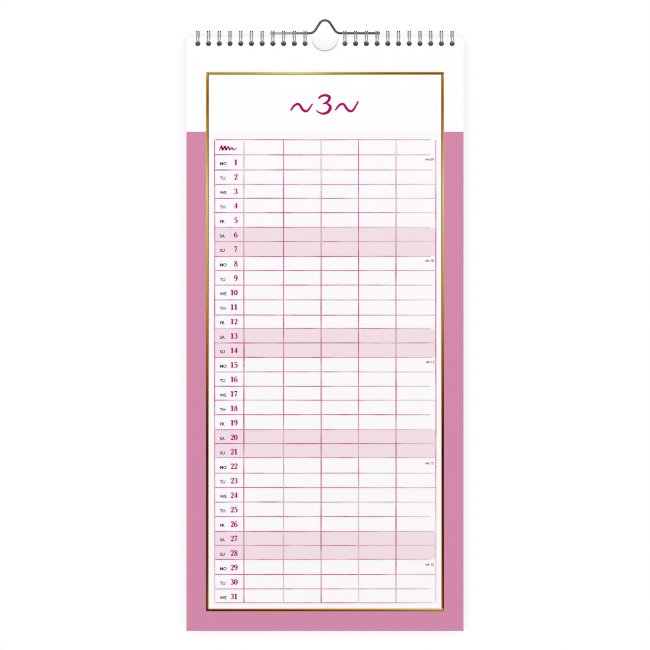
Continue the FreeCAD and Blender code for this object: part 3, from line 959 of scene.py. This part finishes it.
def makeFigures():
    places, _ = ruleMiddles(2)
    rows = len(places) - 1
    top = places[-1]
    rowHeight = (top - places[0]) / rows
    days = bmesh.new()
    for day in range(1, rows):
        base = top - (day + 1) * rowHeight + figures["aboveRule"]
        writeNumber(days, day, figures["rightEnd"], base, figures["high"], figures["advance"])
    ink = flatInk("magenta_ink", figures["colour"], figures["deeper"], gloss=printInk["deepGloss"])
    strokePiece("day_numbers", days, ink, "rule_ink")

    marks = bmesh.new()
    words = {}
    for name in figures["weekdays"]:
        words[name] = wordMesh(name, figures["weekdaySize"], figures["weekdayBolder"])
    for day in range(1, rows):
        base = top - (day + 1) * rowHeight + figures["aboveRule"]
        addWord(marks, words[figures["weekdays"][(day - 1) % weekDays]], figures["weekdayLeft"], base)
    greyInk = flatInk("grey_ink", figures["weekdayColour"], figures["weekdayDeeper"])
    strokePiece("weekday_marks", marks, greyInk, "rule_ink")

    for name, numbers, colour in (
        ("first_week_number", range(1), figures["firstWeekColour"]),
        ("week_numbers", range(1, figures["weeks"]), figures["weekColour"]),
    ):
        weeks = bmesh.new()
        for number in numbers:
            z = top - (1 + weekDays * number) * rowHeight - figures["weekBelow"]
            text = f"wk {figures['firstWeek'] + number:02d}"
            word = wordMesh(text, figures["weekSize"], figures["weekdayBolder"])
            wide = max(vert.co.x for vert in word.vertices)
            addWord(weeks, word, figures["weekRight"] - wide, z)
        strokePiece(name, weeks, flatInk(name + "_ink", colour, colour), "rule_ink")


# The month's figure and the heading's flourish: brush strokes in mm from their own middle, (x, z, width)
brushWork = {
    "upperBow": [(-4.6, 4.0, 0.7), (-3.0, 6.0, 1.3), (0.6, 7.0, 1.4), (3.8, 5.6, 1.7), (2.8, 2.6, 1.5), (0.2, 0.9, 1.0),
                 (-1.4, 0.6, 0.6)],
    "lowerBow": [(-1.0, 0.7, 0.5), (1.8, 0.7, 1.0), (4.4, -1.8, 1.7), (3.0, -5.4, 1.7), (-1.0, -7.0, 1.3),
                 (-5.0, -5.6, 0.8), (-6.2, -4.2, 0.5)],
    "leftSwash": [(-25.6, -4.6, 1.0), (-22.8, -0.8, 1.3), (-19.4, 0.2, 1.4), (-16.2, -4.2, 1.5), (-13.0, -4.8, 1.3),
                  (-9.0, 0.6, 0.8)],
    "rightSwash": [(8.2, -4.4, 0.9), (11.2, -0.6, 1.3), (14.4, 0.2, 1.4), (17.8, -4.2, 1.5), (21.4, -4.6, 1.3),
                   (25.6, 2.4, 0.9)],
    "bolder": 1.35,
    "figureMiddle": (-0.4 * mm, -63.0 * mm),
    "flourish": [(-6.6, -1.9, 0.5), (-4.9, 1.8, 1.2), (-4.2, -1.3, 1.3), (-2.2, 1.6, 1.2), (-1.6, -1.2, 1.3),
                 (0.4, 1.2, 1.0), (1.2, -1.2, 1.1), (3.0, 0.6, 0.9), (4.0, -1.2, 1.0), (6.6, 0.2, 0.4)],
    "flourishMiddle": (-73.5 * mm, -96.2 * mm),
    "height": 0.05 * mm,
    "colour": screenColour(185, 0, 112),
    "deeper": screenColour(158, 0, 94),
    "spread": 0.6,  # how much the strokes' strength varies
}


def makeBrushWork():
    ink = flatInk("brush_ink", brushWork["colour"], brushWork["deeper"], brushWork["spread"], printInk["deepGloss"])
    bm = bmesh.new()
    middleX, middleZ = brushWork["figureMiddle"]
    for layer, name in enumerate(("upperBow", "lowerBow", "leftSwash", "rightSwash")):
        stations = [(middleX + x * mm, middleZ + z * mm, width * brushWork["bolder"] * mm) for x, z, width in
                    smoothStations(brushWork[name], 6)]
        layStroke(bm, stations, brushWork["height"] + layer * rules["apart"])
    strokePiece("month_figure", bm, ink, "rule_ink")
    bm = bmesh.new()
    middleX, middleZ = brushWork["flourishMiddle"]
    stations = [(middleX + x * mm, middleZ + z * mm, width * mm) for x, z, width in
                smoothStations(brushWork["flourish"], 6)]
    layStroke(bm, stations, brushWork["height"])
    strokePiece("heading_flourish", bm, ink, "rule_ink")


fields = {
    "pink": screenColour(212, 136, 170),
    "pinkDeeper": screenColour(204, 128, 162),
    "weekend": screenColour(243, 223, 232),
    "weekendDeeper": screenColour(237, 214, 225),
}


def dressFrameNodes():
    looks = {
        "front_sheet": coatedPaper(),
        "back_board": greyBoard(),
        "pink_print": flatInk("pink_ink", fields["pink"], fields["pinkDeeper"]),
        "gold_line_print": goldInk(),
        "weekend_print": flatInk("weekend_ink", fields["weekend"], fields["weekendDeeper"]),
    }
    for name, material in looks.items():
        for slot in nodes[name].material_slots:
            slot.material = material


# The wall, the floor, the light and the camera

room = {
    "pixel": 0.758 * mm,  # one pixel of the photograph
    "pixels": 650,
    "nailRow": 21.35,  # the row of the photograph at the hanger's crown, where Z is 0
    "middle": 325,
    "lens": 200.0,
    "sensor": 36.0,
    "wallGap": 0.5 * mm,  # the loops' backs to the wall
    "shadowReach": 30 * mm,
    "floorDrop": 60 * mm,
    "world": 0.75,
    "keyPower": 10.9,
    "backPower": 3.6,
    "flagAway": 0.9,
    "flagLevel": 0.02,
    "backdropHalf": 1.5,
    # painted shadow on the wall, by how open it is: nearly black in the binding holes, faint beside the page's edges
    "wallShadowStops": [
        (0.0, grey(0.03)), (0.27, grey(0.08)), (0.36, grey(0.78)), (0.43, grey(0.87)), (0.7, grey(0.94)),
        (0.88, grey(1.0)),
    ],
    # painted shadow on the floor beneath the object
    "floorShadowStops": [(0.0, grey(0.75)), (1.0, grey(1.0))],
    "lampSide": 1.6,
    "fillShare": 0.6,  # of the key lamp's power
    "keyPlace": Vector((-0.9, -1.9, 1.1)),  # lamps, from the object's middle height
    "fillPlace": Vector((1.1, -1.9, 0.5)),
    "backPlace": Vector((0.9, 1.9, 0.9)),
}


def shadowedWhite(name, reach, stops):  # a glowing white backdrop with painted shadow: it darkens only where something stands close to it, as far as ambient occlusion finds
    recipe = Recipe(name)
    closeness = recipe.add("ShaderNodeAmbientOcclusion", {"samples": 32}, {"Distance": reach}, "AO")
    shade = recipe.add("ShaderNodeValToRGB", {"stops": stops}, {"Fac": closeness})
    glow = recipe.add("ShaderNodeEmission", {}, {"Color": shade})
    clear = recipe.add("ShaderNodeBsdfTransparent", {}, {})
    behind = recipe.add("ShaderNodeNewGeometry", {}, {}, "Backfacing")
    mixed = recipe.add("ShaderNodeMixShader", {}, {0: behind, 1: glow, 2: clear})
    recipe.tree.links.new(mixed.socket, recipe.output.inputs["Surface"])
    return recipe.material


def backdrop(name, corners, material):
    mesh = bpy.data.meshes.new(name)
    mesh.from_pydata(corners, [], [(0, 1, 2, 3)])
    sheet = meshPiece(name, mesh, material)
    sheet.visible_shadow = False
    sheet.visible_diffuse = False
    return sheet


def makeRoom():
    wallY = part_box("right_binding_wire")[1].y + room["wallGap"]
    floorZ = cadBox[0][2] - room["floorDrop"]
    wide = room["backdropHalf"]
    backdrop("wall", [(-wide, wallY, floorZ), (wide, wallY, floorZ), (wide, wallY, wide), (-wide, wallY, wide)],
             shadowedWhite("wall_painted_shadow", room["shadowReach"], room["wallShadowStops"]))
    backdrop("floor", [(-wide, -wide, floorZ), (wide, -wide, floorZ), (wide, wallY, floorZ), (-wide, wallY, floorZ)],
             shadowedWhite("floor_painted_shadow", 2 * room["floorDrop"], room["floorShadowStops"]))

    flagPaint = Recipe("flag_cloth")
    glow = flagPaint.add("ShaderNodeEmission", {}, {"Color": grey(room["flagLevel"])})
    flagPaint.tree.links.new(glow.socket, flagPaint.output.inputs["Surface"])
    for side in (-1, 1):  # dark cloths beside the object, which only the steel's gloss sees
        x = side * room["flagAway"]
        corners = [(x, -1.2, -1.4), (x, 1.2, -1.4), (x, 1.2, 1), (x, -1.2, 1)]
        flag = backdrop(f"flag_{side}", corners, flagPaint.material)
        flag.visible_camera = False
        flag.visible_transmission = False

    world = bpy.data.worlds.new("studio")
    world.use_nodes = True
    bpy.context.scene.world = world
    tree = world.node_tree
    sky = tree.nodes["Background"]
    paths = tree.nodes.new("ShaderNodeLightPath")
    seen = tree.nodes.new("ShaderNodeMath")
    seen.operation = "MAXIMUM"
    alsoSeen = tree.nodes.new("ShaderNodeMath")
    alsoSeen.operation = "MAXIMUM"
    strength = tree.nodes.new("ShaderNodeMapRange")
    strength.inputs["To Min"].default_value = room["world"]
    tree.links.new(paths.outputs["Is Camera Ray"], seen.inputs[0])
    tree.links.new(paths.outputs["Is Glossy Ray"], seen.inputs[1])
    tree.links.new(seen.outputs[0], alsoSeen.inputs[0])
    tree.links.new(paths.outputs["Is Transmission Ray"], alsoSeen.inputs[1])
    tree.links.new(alsoSeen.outputs[0], strength.inputs["Value"])
    tree.links.new(strength.outputs[0], sky.inputs["Strength"])
    sky.inputs["Color"].default_value = (1, 1, 1, 1)

    middleZ = (cadBox[0][2] + cadBox[1][2]) / 2
    middle = Vector((0, 0, middleZ))
    lamps = (
        ("key_lamp", room["keyPlace"], room["keyPower"]),
        ("fill_lamp", room["fillPlace"], room["keyPower"] * room["fillShare"]),
        ("back_lamp", room["backPlace"], room["backPower"]),
    )
    for name, place, power in lamps:
        light = bpy.data.lights.new(name, "AREA")
        light.shape = "SQUARE"
        light.size = room["lampSide"]
        light.energy = power
        lamp = bpy.data.objects.new(name, light)
        bpy.context.collection.objects.link(lamp)
        lamp.location = middle + place
        lamp.rotation_euler = (-place).to_track_quat("-Z", "Y").to_euler()


def makeCamera():
    camera = bpy.data.objects.new("camera", bpy.data.cameras.new("camera"))
    bpy.context.collection.objects.link(camera)
    camera.data.lens = room["lens"]
    camera.data.sensor_width = room["sensor"]
    across = room["pixels"] * room["pixel"]
    away = across * room["lens"] / room["sensor"]
    middleZ = -(room["middle"] - room["nailRow"]) * room["pixel"]
    camera.location = (0, inkFace - away, middleZ)
    camera.rotation_euler = (math.radians(90), 0, 0)
    camera.data.clip_end = 20
    bpy.context.scene.camera = camera


makeCamera()
makeRoom()
print("room, light and camera ready")
dressFrameNodes()
print("paper, board and printed fields finished")
wireFinish = bindingSteel()
makeBinding("left_binding_wire", -1, wireFinish)
makeBinding("right_binding_wire", 1, wireFinish)
makeHanger()
print("wires made")
makeLeafStack("later_sheets", 9, "binding", nextLeafPaper(), leaves["seed"])
makeLeafStack("turned_sheets", 3, "turned_leaves", plainPaper("turned_paper", paper["back"]), leaves["seed"] + 1)
print("leaves stacked")
makeRules()
makeFigures()
makeBrushWork()
print("print laid on the front leaf")

bpy.context.scene.view_settings.view_transform = "Standard"
bpy.context.scene.cycles.filter_width = 1.1  # as crisp as the photograph
